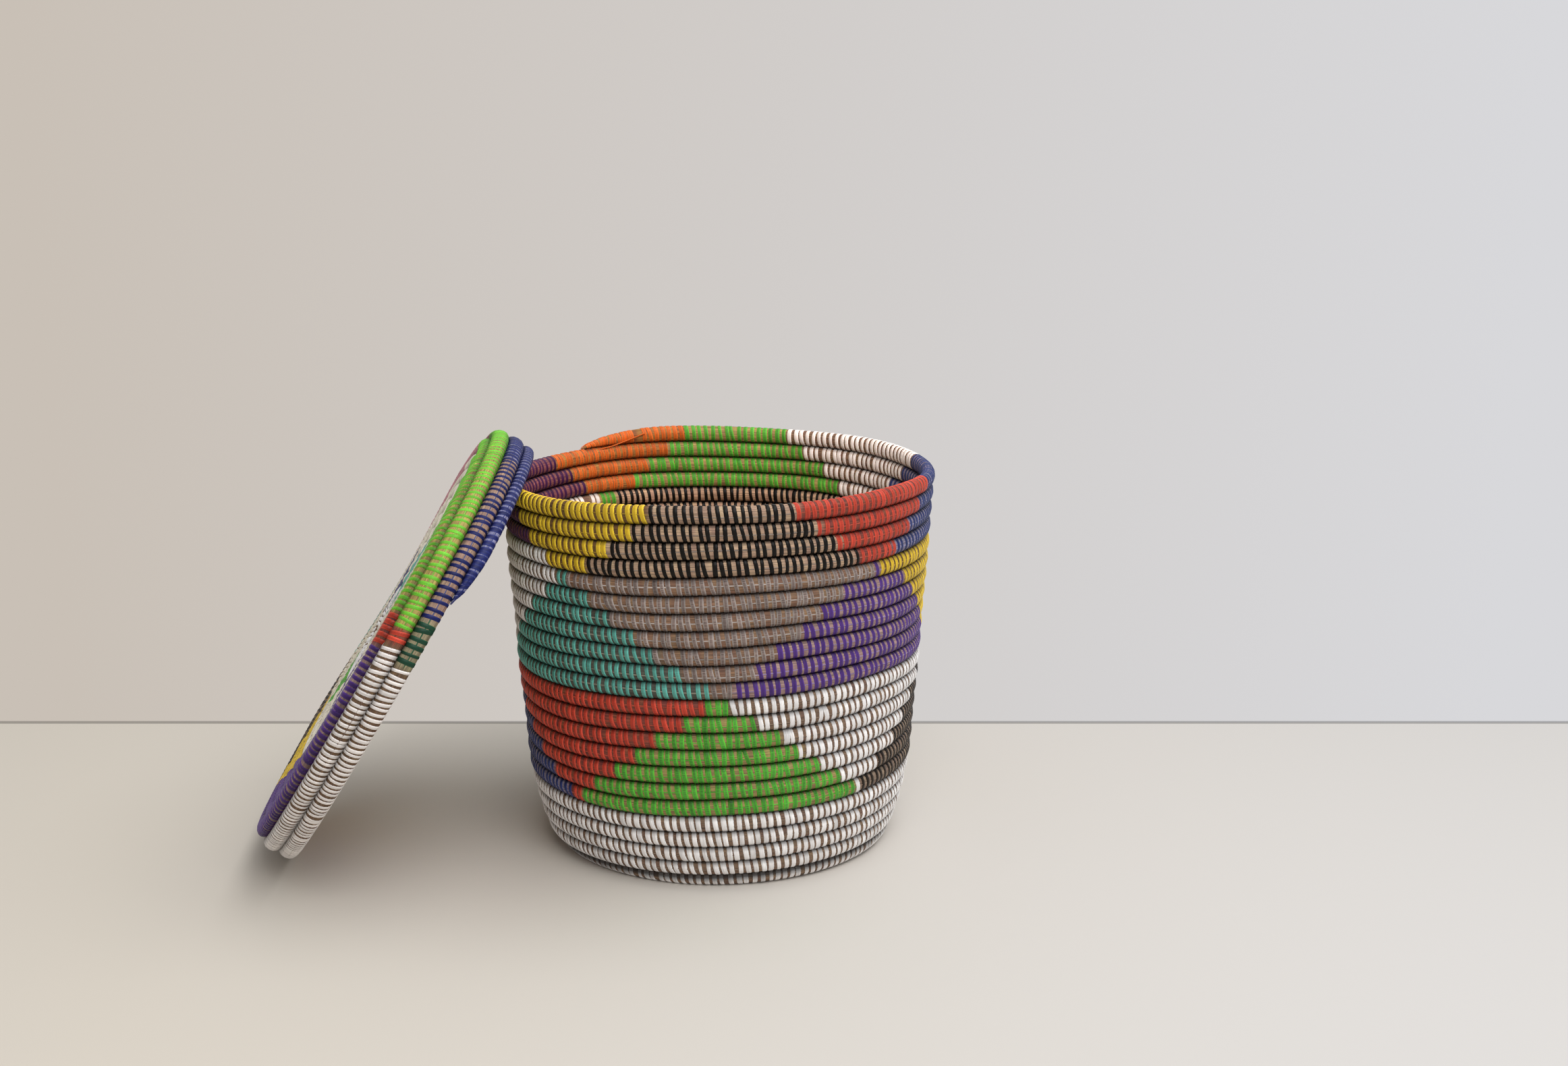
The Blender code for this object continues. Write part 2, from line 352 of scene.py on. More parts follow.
# The strip's edges and heart, the grass in the gaps, the carried strand, the strip's share of the full
# width, and how clear the strip is.
Sewing = collections.namedtuple("Sewing", "strip heart gap strand width clear")
sewings = {
    "yellow": Sewing("#F0CE38", "#D4AE2E", "#6C4E22", "#9A7C32", 1.04, 0.15),
    "black": Sewing("#0C0A08", "#100D0B", "#B2947A", "#8D7F74", 0.88, 0.0),
    "red": Sewing("#D8503C", "#B83F2F", "#7E3C2C", "#A84C3B", 1.0, 0.3),
    "blue": Sewing("#2E3B72", "#223064", "#857C92", "#8C8CB0", 0.92, 0.1),
    "white": Sewing("#FBF9F8", "#F2EEED", "#7A604C", "#84705F", 1.04, 0.0),
    "green": Sewing("#5ABC38", "#4E9638", "#9A8550", "#5CA83C", 1.05, 0.7),
    "orange": Sewing("#E06A26", "#B8602A", "#9A6A32", "#CC7C34", 1.05, 0.4),
    "purple": Sewing("#59388C", "#4A2E74", "#9E817A", "#9884A6", 0.98, 0.1),
    "teal": Sewing("#66BCAE", "#5A9C90", "#4C4B42", "#8F8A7C", 0.9, 0.3),
    "grey": Sewing("#A39A95", "#80706A", "#84634B", "#B0A6A0", 1.0, 1.0),
    "brown": Sewing("#241B13", "#2A2118", "#8C7765", "#7D6F60", 0.9, 0.0),
    "navy": Sewing("#1F2866", "#171D54", "#9C7E6C", "#50557E", 0.76, 0.0),
    "dense_navy": Sewing("#27306F", "#1D2358", "#7C7CA2", "#38427F", 1.15, 0.0),
    "dense_white": Sewing("#F0EBE8", "#E4DDD9", "#6A5038", "#7A6355", 0.74, 0.0),
    "dark_green": Sewing("#1F4A36", "#1B3F2F", "#8A8064", "#35664A", 0.9, 0.1),
    "bright_green": Sewing("#7BD03C", "#6FC039", "#AC9A52", "#84C04C", 0.72, 0.3),
    "cream": Sewing("#F4ECDA", "#E8DFCA", "#7A634A", "#A08C70", 1.0, 0.0),
    "pink": Sewing("#C98A95", "#B77884", "#A77F6C", "#C99AA0", 1.0, 0.3),
    "plum": Sewing("#4A2352", "#3A1A44", "#7E4A4C", "#7A3A4A", 0.9, 0.1),
}
print("sewing colours", len(sewings))

# %% The rule of the growing patches
# A patch starts on its first turn with a half-width in degrees, has another on the next and grows from
# there. The sewing beside it fills the row up to the next patch. A plain band has one sewing all the way.
# Each half, basket or lid, keeps its bands beside its coil.
Patch = collections.namedtuple("Patch", "sewing middle first_turn halves growth beside")
Band = collections.namedtuple("Band", "end_turn patches plain", defaults=[None])
Half = collections.namedtuple("Half", "body coil start_degrees bands")


def sewing_at(turn, half):
    """The name of the sewing at this many turns from the coil's tail, on the basket or the lid."""
    band = next(b for b in half.bands if turn < b.end_turn)
    if band.plain:
        return band.plain
    way, start_degrees = half.coil.way, half.start_degrees
    here = start_degrees + way * 360 * turn
    for patch in band.patches:
        first_pass = (way * (patch.middle - start_degrees)) % 360 / 360
        passes = round(turn - first_pass)
        away = 360 * abs(turn - first_pass - passes)
        rows = passes + 1 - patch.first_turn
        if rows < 0:
            continue
        reach = patch.halves[0] if rows == 0 else patch.halves[1] + patch.growth * (rows - 1)
        if away < reach:
            return patch.sewing
    return min(band.patches, key=lambda p: (here - p.middle) % 360).beside


# %% The basket's bands, from the rim down
upper_pattern_end, lower_pattern_end = 11, 18
basket_bands = [
    Band(
        3.763,
        [
            Patch("black", 3.4, 1, (17.9, 24.0), 6.1, "red"),
            Patch("blue", 89.6, 1, (16.6, 22.9), 6.3, "white"),
            Patch("green", 176.6, 1, (15.8, 21.8), 6.0, "orange"),
            Patch("plum", -93.4, 1, (27.0, 33.0), 6.0, "yellow"),
        ],
    ),
    Band(
        upper_pattern_end,
        [
            Patch("teal", -41.8, 5, (1.6, 8.1), 6.5, "grey"),
            Patch("purple", 47.6, 5, (1.6, 12.1), 6.06, "yellow"),
            Patch("green", -140.5, 5, (2.5, 8.8), 6.3, "white"),
            Patch("orange", 135.0, 5, (1.6, 8.0), 6.3, "black"),
        ],
    ),
    Band(
        lower_pattern_end,
        [
            Patch("green", 1.4, 12, (3.2, 9.6), 6.7, "white"),
            Patch("brown", 90.0, 12, (3.0, 10.0), 6.5, "yellow"),
            Patch("blue", -90.0, 12, (3.5, 10.2), 6.75, "red"),
            Patch("purple", 180.0, 12, (3.0, 10.0), 6.6, "teal"),
        ],
    ),
    Band(math.inf, [], "white"),
]
basket = Half("basket", basket_coil, math.degrees(tail_angle) + 90, basket_bands)
print("basket bands end at turns", [band.end_turn for band in basket_bands])

# %% The lid's bands, from the open edge to the middle
edge_white = (0.45, 0.953)
side_white = (1.48, 1.962)
lid_side_bands = [
    (0.25, "dense_navy"),
    (edge_white[0], "navy"),
    (edge_white[1], "dense_white"),
    (0.985, "dark_green"),
    (1.13, "navy"),
    (1.22, "dense_navy"),
    (side_white[0], "navy"),
    (side_white[1], "dense_white"),
    (1.972, "red"),
]
lid_bands = [
    *(Band(end_turn, [], sewing) for end_turn, sewing in lid_side_bands),
    Band(
        7.5,
        [
            Patch("bright_green", -28.0, 3, (44.0, 41.0), -9.0, "cream"),
            Patch("pink", 46.0, 3, (36.0, 36.0), -16.0, "cream"),
            Patch("teal", 99.0, 3, (16.0, 16.0), -7.0, "cream"),
            Patch("black", 138.0, 3, (22.0, 21.0), -8.0, "yellow"),
            Patch("purple", -137.0, 3, (58.5, 54.5), -7.0, "cream"),
            Patch("red", -73.5, 3, (4.8, 5.0), -2.0, "cream"),
        ],
    ),
    Band(
        12.5,
        [
            Patch("teal", -30.0, 9, (4.0, 10.0), 6.0, "cream"),
            Patch("blue", 60.0, 9, (4.0, 10.0), 6.0, "cream"),
            Patch("green", 150.0, 9, (4.0, 10.0), 6.0, "cream"),
            Patch("purple", 240.0, 9, (4.0, 10.0), 6.0, "cream"),
        ],
    ),
    Band(math.inf, [], "white"),
]
lid = Half("lid", lid_coil, math.degrees(lid_tail_angle), lid_bands)
print("lid bands end at turns", [band.end_turn for band in lid_bands])

# %% [markdown]
# ## Meshes that carry their own drawing
# The strip and the grass need colours that change from stitch to stitch. An image would do, but a colour
# attribute on the mesh is sharper and needs no unwrapping. A UV map in metres runs along each strip, so
# that streaks and fibres follow it round every bend.


# %% From a bmesh or a helper object to a mesh
def mesh_from(bm, name):
    mesh = bpy.data.meshes.new(name)
    bm.to_mesh(mesh)
    bm.free()
    return mesh


def mesh_of_helper(helper):
    """The mesh of a helper object with its modifiers or bevel applied. The helper is removed."""
    evaluated = helper.evaluated_get(bpy.context.evaluated_depsgraph_get())
    mesh = bpy.data.meshes.new_from_object(evaluated)
    bpy.data.objects.remove(helper)
    return mesh


def finish_mesh(name, mesh, body, material):
    piece = bpy.data.objects.new(name, mesh)
    bpy.context.scene.collection.objects.link(piece)
    mesh.materials.clear()
    mesh.materials.append(material)
    mesh.shade_smooth()
    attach(piece, body)
    return piece


# %% Points, colours and a UV map
def points_of(mesh):
    points = np.empty(len(mesh.vertices) * 3, np.float32)
    mesh.vertices.foreach_get("co", points)
    return points.reshape(-1, 3).astype(float)


def move_points(mesh, points):
    mesh.vertices.foreach_set("co", points.astype(np.float32).ravel())
    mesh.update()


def draw_colours(mesh, name, colours, fourth=1.0):
    """One linear colour a vertex, and a fourth number that says how clear the strip is."""
    layer = mesh.color_attributes.new(name, "FLOAT_COLOR", "POINT")
    fourths = np.broadcast_to(fourth, len(colours))
    layer.data.foreach_set("color", np.column_stack([colours, fourths]).astype(np.float32).ravel())


def sewing_colours(part, turns, half):
    """The linear colour of one part of the sewing, such as its gap, at each of the turns."""
    table = {key: linear(getattr(value, part)) for key, value in sewings.items()}
    return np.array([table[sewing_at(turn, half)] for turn in turns])


def draw_uv(mesh, name, vertex_uv):
    corners = np.empty(len(mesh.loops), np.int32)
    mesh.loops.foreach_get("vertex_index", corners)
    layer = mesh.uv_layers.new(name=name)
    layer.data.foreach_set("uv", vertex_uv[corners].astype(np.float32).ravel())


# %% [markdown]
# ## Materials
# The sewing strip is split plastic, such as the polypropylene of packing band. It is extruded and then
# drawn, so it has fine lines along it and a soft shine. The bundle is dry grass: dull, with fibres that
# run along the coil and shadows between them.


# %% One function adds a node
def add_node(material, kind, settings=None, values=None, links=None):
    node = material.node_tree.nodes.new(kind)
    for name, value in (settings or {}).items():
        setattr(node, name, value)
    for name, value in (values or {}).items():
        node.inputs[name].default_value = value
    for name, (source, output) in (links or {}).items():
        material.node_tree.links.new(source.outputs[output], node.inputs[name])
    return node


def new_material(name):
    material = bpy.data.materials.new(name)
    material.use_nodes = True
    material.node_tree.nodes.clear()
    return material


# %% Noise drawn out into lines
# Fibres about 0.8 mm thick and some 30 mm long, as repeats a metre along and across them.
fibre_scale = (33, 1250, 1)


def drawn_out(material, uv, scale, noise):
    """Noise that a Mapping node stretches, as fibres and lines are much longer than they are thick."""
    place = add_node(material, "ShaderNodeMapping", values={"Scale": scale}, links={"Vector": (uv, "UV")})
    return add_node(
        material, "ShaderNodeTexNoise", values={"Scale": 1.0, **noise}, links={"Vector": (place, "Vector")}
    )


# %% Split polypropylene strip: edges and heart
# The strip is thicker at its edges, where it is folded under, and thinner along its heart. So a pale or
# clear strip shows two bright edges with the grass between them. The heart fades out between two
# distances from the strip's middle.
heart_full, heart_end = 0.0005, 0.0011
strip = new_material("split_polypropylene_strip")
edge_colour = add_node(strip, "ShaderNodeAttribute", {"attribute_name": "strip_colour"})
heart_colour = add_node(strip, "ShaderNodeAttribute", {"attribute_name": "heart_colour"})
uv = add_node(strip, "ShaderNodeUVMap", {"uv_map": "strip"})
uv_parts = add_node(strip, "ShaderNodeSeparateXYZ", links={"Vector": (uv, "UV")})
off_middle = add_node(strip, "ShaderNodeMath", {"operation": "ABSOLUTE"}, links={0: (uv_parts, "X")})
heart = add_node(
    strip,
    "ShaderNodeMapRange",
    {"interpolation_type": "SMOOTHSTEP"},
    {"From Min": heart_full, "From Max": heart_end, "To Min": 1.0, "To Max": 0.0},
    {"Value": (off_middle, "Value")},
)
two_tone = add_node(
    strip,
    "ShaderNodeMix",
    {"data_type": "RGBA"},
    links={0: (heart, "Result"), 6: (edge_colour, "Color"), 7: (heart_colour, "Color")},
)
print("strip colours from", edge_colour.attribute_name, "and", heart_colour.attribute_name)

# %% Split polypropylene strip: the grass seen through it
# Through the heart of a clear strip the fibres show that cross it underneath.
crossing = drawn_out(strip, uv, fibre_scale, {"Detail": 2.0})
crossing_value = add_node(
    strip,
    "ShaderNodeMapRange",
    values={"From Min": 0.35, "From Max": 0.65, "To Min": 0.55, "To Max": 1.45},
    links={"Value": (crossing, "Fac")},
)
see_through = add_node(
    strip,
    "ShaderNodeMath",
    {"operation": "MULTIPLY"},
    links={0: (heart, "Result"), 1: (edge_colour, "Alpha")},
)
grass_tone = add_node(
    strip,
    "ShaderNodeMix",
    values={"A": 1.0},
    links={"Factor": (see_through, "Value"), "B": (crossing_value, "Result")},
)
print("fibres under the strip a metre", fibre_scale[1])

# %% Split polypropylene strip: its drawn lines
# Lines about 0.36 mm apart across the strip and 12 mm long.
line_scale = (2800, 80, 1)
lines = drawn_out(strip, uv, line_scale, {"Detail": 2.0})
lines_value = add_node(
    strip,
    "ShaderNodeMapRange",
    values={"From Min": 0.3, "From Max": 0.7, "To Min": 0.8, "To Max": 1.15},
    links={"Value": (lines, "Fac")},
)
tone = add_node(
    strip,
    "ShaderNodeMath",
    {"operation": "MULTIPLY"},
    links={0: (lines_value, "Result"), 1: (grass_tone, "Result")},
)
lined = add_node(
    strip, "ShaderNodeHueSaturation", links={"Color": (two_tone, "Result"), "Value": (tone, "Value")}
)
print("drawn lines a metre", line_scale[0])

# %% Split polypropylene strip: its shine
# Drawn plastic is neither matt nor glossy, and its lines break the shine into short streaks.
lines_bump = add_node(
    strip,
    "ShaderNodeBump",
    values={"Strength": 0.5, "Distance": 0.0002},
    links={"Height": (lines, "Fac")},
)
strip_shader = add_node(
    strip,
    "ShaderNodeBsdfPrincipled",
    values={"Roughness": 0.36, "IOR": 1.49, "Specular IOR Level": 0.18},
    links={"Base Color": (lined, "Color"), "Normal": (lines_bump, "Normal")},
)
add_node(strip, "ShaderNodeOutputMaterial", links={"Surface": (strip_shader, "BSDF")})
print("made", strip.name, "with nodes", len(strip.node_tree.nodes))

# %% Dry grass bundle: its fibres
# Dry grass is dull. Bright fibres lie beside dark gaps, which are painted shade between the fibres, so the
# eye sees a bundle and not a rod.
grass = new_material("dry_grass_bundle")
tint = add_node(grass, "ShaderNodeAttribute", {"attribute_name": "grass_colour"})
uv = add_node(grass, "ShaderNodeUVMap", {"uv_map": "bundle"})
fibres = drawn_out(grass, uv, fibre_scale, {"Detail": 3.0, "Roughness": 0.6})
fibre_value = add_node(
    grass,
    "ShaderNodeMapRange",
    values={"From Min": 0.32, "From Max": 0.68, "To Min": 0.42, "To Max": 1.42},
    links={"Value": (fibres, "Fac")},
)
fibre_bump = add_node(
    grass,
    "ShaderNodeBump",
    values={"Strength": 0.8, "Distance": 0.0005},
    links={"Height": (fibres, "Fac")},
)
print("fibres in the bundle a metre", fibre_scale[1])

# %% Dry grass bundle: its tufts
# The tint changes from one gap between stitches to the next, some 6 mm along.
tuft_scale = (170, 60, 1)
tufts = drawn_out(grass, uv, tuft_scale, {"Detail": 1.0})
tuft_value = add_node(
    grass,
    "ShaderNodeMapRange",
    values={"From Min": 0.3, "From Max": 0.7, "To Min": 0.8, "To Max": 1.18},
    links={"Value": (tufts, "Fac")},
)
tuft_hue = add_node(
    grass,
    "ShaderNodeMapRange",
    values={"From Min": 0.3, "From Max": 0.7, "To Min": 0.485, "To Max": 0.512},
    links={"Value": (tufts, "Fac")},
)
tone = add_node(
    grass,
    "ShaderNodeMath",
    {"operation": "MULTIPLY"},
    links={0: (fibre_value, "Result"), 1: (tuft_value, "Result")},
)
fibred = add_node(
    grass,
    "ShaderNodeHueSaturation",
    links={"Color": (tint, "Color"), "Value": (tone, "Value"), "Hue": (tuft_hue, "Result")},
)
grass_shader = add_node(
    grass,
    "ShaderNodeBsdfPrincipled",
    values={"Roughness": 0.7},
    links={"Base Color": (fibred, "Color"), "Normal": (fibre_bump, "Normal")},
)
add_node(grass, "ShaderNodeOutputMaterial", links={"Surface": (grass_shader, "BSDF")})
print("made", grass.name, "with nodes", len(grass.node_tree.nodes))

# %% [markdown]
# ## The grass bundle
# One bundle runs through all the rows. A flat grid is rolled into a tube first, because a grid already has
# its length along x and its girth along y. The tube is then wound. Its section is a squared oval, so that
# each row lies flat on the next and no light comes through.

# %% The section of a row
grass_out = 0.0043
grass_across = row_pitch / 2
oval_power = 2 / 2.1


def oval(angle, out, across):
    """A squared oval, as (out, across), at an angle measured from the outside."""
    cos, sin = np.cos(angle), np.sin(angle)
    return (
        out * np.sign(cos) * np.abs(cos) ** oval_power,
        across * np.sign(sin) * np.abs(sin) ** oval_power,
    )


# %% Painted shade in the creases and painted light inside
crease_dark = 0.10
crease_from = 0.70
crease_reach = 0.26
inside_from = -0.1
# Painted warm light inside the basket and lid, as factors on red, green and blue.
inside_painted_light = np.array([1.46, 1.28, 1.17])


def painted_light_and_shade(coil, angle, turns):
    """Painted shade where a row meets the next one, and painted warm light inside the basket and lid."""
    depth = coil.crease * np.clip((np.abs(np.sin(angle)) - crease_from) / crease_reach, 0, 1)
    # The outermost row has no neighbour on its outer side.
    depth = np.where((turns < 1) & (np.sin(angle) > 0), 0, depth)
    side = np.where(np.cos(angle)[:, None] < inside_from, inside_painted_light, 1.0)
    return side * (1 - (1 - crease_dark) * depth)[:, None]


# %% A grid that becomes a tube
def flat_tube(name, length, step, sides):
    """A flat grid as a mesh, with the share of the length and the girth angle of each of its points."""
    bm = bmesh.new()
    bmesh.ops.create_grid(bm, x_segments=round(length / step), y_segments=sides, size=0.5)
    mesh = mesh_from(bm, name)
    share, girth = (points_of(mesh)[:, :2] + 0.5).T
    return mesh, share, girth * 2 * math.pi


def close_tube(mesh, seam):
    """Joins the two long sides, which now lie on each other, and fills both ends."""
    bm = bmesh.new()
    bm.from_mesh(mesh)
    bmesh.ops.remove_doubles(bm, verts=bm.verts, dist=seam)
    ends = [e for e in bm.edges if e.is_boundary]
    bmesh.ops.holes_fill(bm, edges=ends, sides=0)
    bmesh.ops.recalc_face_normals(bm, faces=bm.faces)
    bm.to_mesh(mesh)
    bm.free()


# %% Both bundles
tube_sides = 16
tube_step = 0.0055
tube_seam = 1e-5


def grass_bundle(half, *nodes):
    coil = half.coil
    mesh, share, girth_angle = flat_tube(f"{half.body}_bundle", coil.end, tube_step, tube_sides)
    x = share * coil.end
    turns = coil.turn_at(x)
    out, across = oval(girth_angle, grass_out, grass_across)
    move_points(mesh, coil.place(np.column_stack([x, out, across])))
    colours = sewing_colours("gap", turns, half)
    # The grass's colours take the painted shade in the creases and the painted light inside.
    draw_colours(mesh, "grass_colour", colours * painted_light_and_shade(coil, girth_angle, turns))
    draw_uv(mesh, "bundle", np.column_stack([x, girth_angle * grass_across]))
    close_tube(mesh, tube_seam)
    piece = finish_mesh(f"{half.body}_bundle", mesh, half.body, grass)
    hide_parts(*nodes)
    print(piece.name, "faces", len(mesh.polygons))


grass_bundle(basket, "rim_coil", "upper_pattern_coil", "lower_pattern_coil", "foot_coil", "base_coil")
grass_bundle(lid, "lid_rim_coil", "lid_disc_coil")

# %% [markdown]
# ## The stitches
# A stitch is a flat strip that goes once round the row and through the top of the row before. It could be
# an instance of one object, but the export wants real meshes. So one ring is spun from a four-sided
# profile, an Array modifier lays out as many as a stretch of coil needs, and each is then nudged a little
# at random, as no sewn stitch matches its neighbour.

# %% One stitch
strip_width = 0.0034
strip_lift = 0.00035
strip_sink = 0.0002
flat_share = 0.62
ring_steps = 14


def stitch_ring():
    """One closed ring round a straight row, with its middle at x = 0."""
    bm = bmesh.new()
    half_width = strip_width / 2
    under, top = 1.0, 2.0
    corners = [
        (-half_width, under),
        (-half_width * flat_share, top),
        (half_width * flat_share, top),
        (half_width, under),
    ]
    profile = [bm.verts.new((x, radius, 0)) for x, radius in corners]
    edges = [bm.edges.new((profile[i], profile[(i + 1) % 4])) for i in range(4)]
    bmesh.ops.spin(
        bm,
        geom=profile + edges,
        cent=(0, 0, 0),
        axis=(1, 0, 0),
        angle=2 * math.pi,
        steps=ring_steps,
        use_merge=True,
    )
    for vert in bm.verts:
        is_top = math.hypot(vert.co.y, vert.co.z) > (under + top) / 2
        lift = strip_lift if is_top else -strip_sink
        angle = math.atan2(vert.co.z, vert.co.y)
        out, across = oval(angle, grass_out + lift, grass_across + lift)
        vert.co = (vert.co.x, out, across)
    bmesh.ops.recalc_face_normals(bm, faces=bm.faces)
    return mesh_from(bm, "stitch_ring")


ring = stitch_ring()
print("stitch faces", len(ring.polygons), "points", len(ring.vertices))

# %% A straight row of rings, and their lean
outside_lean = math.tan(math.radians(8))
inside_lean = math.tan(math.radians(6))


def row_of_rings(count, pitch):
    helper = bpy.data.objects.new("stitch_helper", ring.copy())
    bpy.context.scene.collection.objects.link(helper)
    array = helper.modifiers.new("row_of_stitches", "ARRAY")
    array.count = count
    array.use_relative_offset = False
    array.use_constant_offset = True
    array.constant_offset_displace = (pitch, 0, 0)
    return mesh_of_helper(helper)


def helix_shift(out, across):
    """How far along the coil a stitch has got at this place on its way round."""
    height = across / grass_across
    outside = outside_lean * grass_across * height
    inside = outside_lean * grass_across + inside_lean * grass_across * (1 - height)
    return np.where(out > 0, outside, inside)


# %% A stretch of stitches
stitch_pitch = 0.00485
width_spread = 0.09
lean_spread = math.radians(3.0)
place_spread = 0.00033
shade_spread = 0.08
clear_looseness = 0.6
streak_shift = 5


def sew(name, half, from_turn, to_turn, seed, pitch=stitch_pitch):
    """Stitches that differ a little in width, lean, place and shade, and more where they are clear."""
    coil = half.coil
    random = np.random.default_rng(seed)
    first = math.ceil(coil.x_at(from_turn) / pitch)
    count = math.floor(coil.x_at(to_turn) / pitch) - first
    mesh = row_of_rings(count, pitch)
    number = np.repeat(np.arange(count), len(ring.vertices))
    local = points_of(mesh)
    local[:, 0] -= number * pitch
    across_strip = local[:, 0].copy()
    girth_angle = np.arctan2(local[:, 2], local[:, 1])
    middles = (first + np.arange(count) + 0.5) * pitch
    turns = coil.turn_at(middles)
    sewn = [sewings[sewing_at(turn, half)] for turn in turns]
    clear = np.array([sewing.clear for sewing in sewn])
    loose = 1 + clear_looseness * clear
    widths = np.array([sewing.width for sewing in sewn]) * random.normal(1, width_spread, count)
    leans = loose * random.normal(0, lean_spread, count)
    middles = middles + loose * random.normal(0, place_spread, count)
    shades = 1 + (loose * random.normal(0, shade_spread, count))[:, None]
    streaks = random.uniform(0, streak_shift, count)
    local[:, 0] = local[:, 0] * widths[number] + helix_shift(local[:, 1], local[:, 2])
    local[:, 0] += local[:, 2] * np.tan(leans)[number] + middles[number]
    move_points(mesh, coil.place(local))
    edges = np.clip(sewing_colours("strip", turns, half) * shades, 0, 1)
    hearts = np.clip(sewing_colours("heart", turns, half) * shades, 0, 1)
    # The strip's colours take the painted shade in the creases and the painted light inside.
    crease = painted_light_and_shade(coil, girth_angle, turns[number])
    draw_colours(mesh, "strip_colour", edges[number] * crease, clear[number])
    draw_colours(mesh, "heart_colour", hearts[number] * crease)
    draw_uv(mesh, "strip", np.column_stack([across_strip, girth_angle * grass_across + streaks[number]]))
    finish_mesh(name, mesh, half.body, strip)
    print(name, "stitches", count, "faces", len(mesh.polygons))


# %% Sew the basket
lashing_end = 0.05
pattern_start, foot_end = 4, 23
basket_stretches = [
    ("rim_stitches", lashing_end, pattern_start),
    ("upper_pattern_stitches", pattern_start, upper_pattern_end),
    ("lower_pattern_stitches", upper_pattern_end, lower_pattern_end),
    ("foot_stitches", lower_pattern_end, foot_end),
    ("base_stitches", foot_end, basket_coil.turns),
]
for seed, (name, from_turn, to_turn) in enumerate(basket_stretches):
    sew(name, basket, from_turn, to_turn, seed)

# %% Sew the lid
# White is sewn closer than the rest. The stretches meet where their first and last stitches leave no gap.
close_pitch = 0.0036
disc_pitch = 0.0041
disc_start = 1.9605
lid_stretches = [
    ("lid_edge_stitches", lashing_end, edge_white[0], stitch_pitch),
    ("lid_edge_white_stitches", *edge_white, close_pitch),
    ("lid_side_stitches", edge_white[1], side_white[0], stitch_pitch),
    ("lid_side_white_stitches", *side_white, close_pitch),
    ("lid_disc_stitches", disc_start, lid_coil.turns, disc_pitch),
]
first_lid_seed = 11
for seed, (name, from_turn, to_turn, pitch) in enumerate(lid_stretches, first_lid_seed):
    sew(name, lid, from_turn, to_turn, seed, pitch)

# %% [markdown]
# ## The tails
# Where a coil ends, the maker thins the grass to a point and lashes it down with stitches that lie edge to
# edge. The same ring is used at the closer pitch.

# %% Lash down both tails
lashing_start = 0.002
sew("rim_tail_lashing", basket, lashing_start, lashing_end, 21, close_pitch)
sew("lid_tail_lashing", lid, lashing_start, lashing_end, 22, close_pitch)

# %% [markdown]
# ## The carried strands
# The end of each strip is laid along the row and sewn over, so a thin strand of it shows between the
# stitches at mid height. It could be a curve, but a tube made like the grass lies on it all the way. It is
# one long flat ribbon, which wanders a little and changes its shade.

# %% Both carried strands
strand_step = 0.0040
strand_half = 0.00045
strand_lift = 0.0002
strand_sides = 4
strand_seam = 1e-6
strand_wander, wander_length = 0.0007, 0.06
strand_shades, shade_length = 0.15, 0.02


def drift(random, x, end, step, middle, spread):
    """A random value that changes evenly from one step along the coil to the next."""
    knots = np.arange(0, end + step, step)
    return np.interp(x, knots, random.normal(middle, spread, len(knots)))


def carried_strand(half, seed):
    coil = half.coil
    random = np.random.default_rng(seed)
    name = f"{half.body}_carried_strand"
    mesh, share, girth_angle = flat_tube(name, coil.end, strand_step, strand_sides)
    x = share * (coil.end - 2 * strand_step) + strand_step
    wander = drift(random, x, coil.end, wander_length, 0, strand_wander)
    shades = drift(random, x, coil.end, shade_length, 1, strand_shades)
    out = grass_out - strand_lift / 2 + strand_lift * np.cos(girth_angle)
    across = wander + strand_half * np.sin(girth_angle)
    move_points(mesh, coil.place(np.column_stack([x, out, across])))
    colours = np.clip(sewing_colours("strand", coil.turn_at(x), half) * shades[:, None], 0, 1)
    draw_colours(mesh, "strip_colour", colours, 0.0)
    draw_colours(mesh, "heart_colour", colours)
    draw_uv(mesh, "strip", np.column_stack([across, x]))
    close_tube(mesh, strand_seam)
    finish_mesh(name, mesh, half.body, strip)
    print(name, "faces", len(mesh.polygons))


carried_strand(basket, 31)
carried_strand(lid, 32)

# %% [markdown]
# ## Loose ends
# A strip that runs out is pulled under a few stitches and cut, and some ends are left to stick out. They
# could be cut from the carried strand, but a thin curve is easier to lay. Each is turned into a mesh so
# that it takes the strip's colours.

# %% A loose end
laid_out = grass_out + 0.0007
strand_tip_share = 0.4


def loose_end(name, half, sewing, side, half_width, places):
    """A strand through places given as turns from the tail, and metres of lift and across."""
    coil = half.coil
    at = [(coil.x_at(turn), side * (laid_out + lift), across) for turn, lift, across in places]
    curve = bpy.data.curves.new(name, "CURVE")
    curve.dimensions = "3D"
    curve.bevel_depth = half_width
    curve.bevel_resolution = 1
    curve.resolution_u = 6
    curve.use_fill_caps = True
    spline = curve.splines.new("NURBS")
    spline.points.add(len(at) - 1)
    for point, place in zip(spline.points, coil.place(at)):
        point.co = (*place, 1)
    spline.points[-1].radius = strand_tip_share
    spline.use_endpoint_u = True
    spline.order_u = 3
    helper = bpy.data.objects.new("strand_helper", curve)
    bpy.context.scene.collection.objects.link(helper)
    mesh = mesh_of_helper(helper)
    colours = np.tile(linear(sewings[sewing].strip), (len(mesh.vertices), 1))
    draw_colours(mesh, "strip_colour", colours, 0.0)
    draw_colours(mesh, "heart_colour", colours)
    draw_uv(mesh, "strip", points_of(mesh)[:, :2])
    finish_mesh(name, mesh, half.body, strip)
    print(name, "faces", len(mesh.polygons))


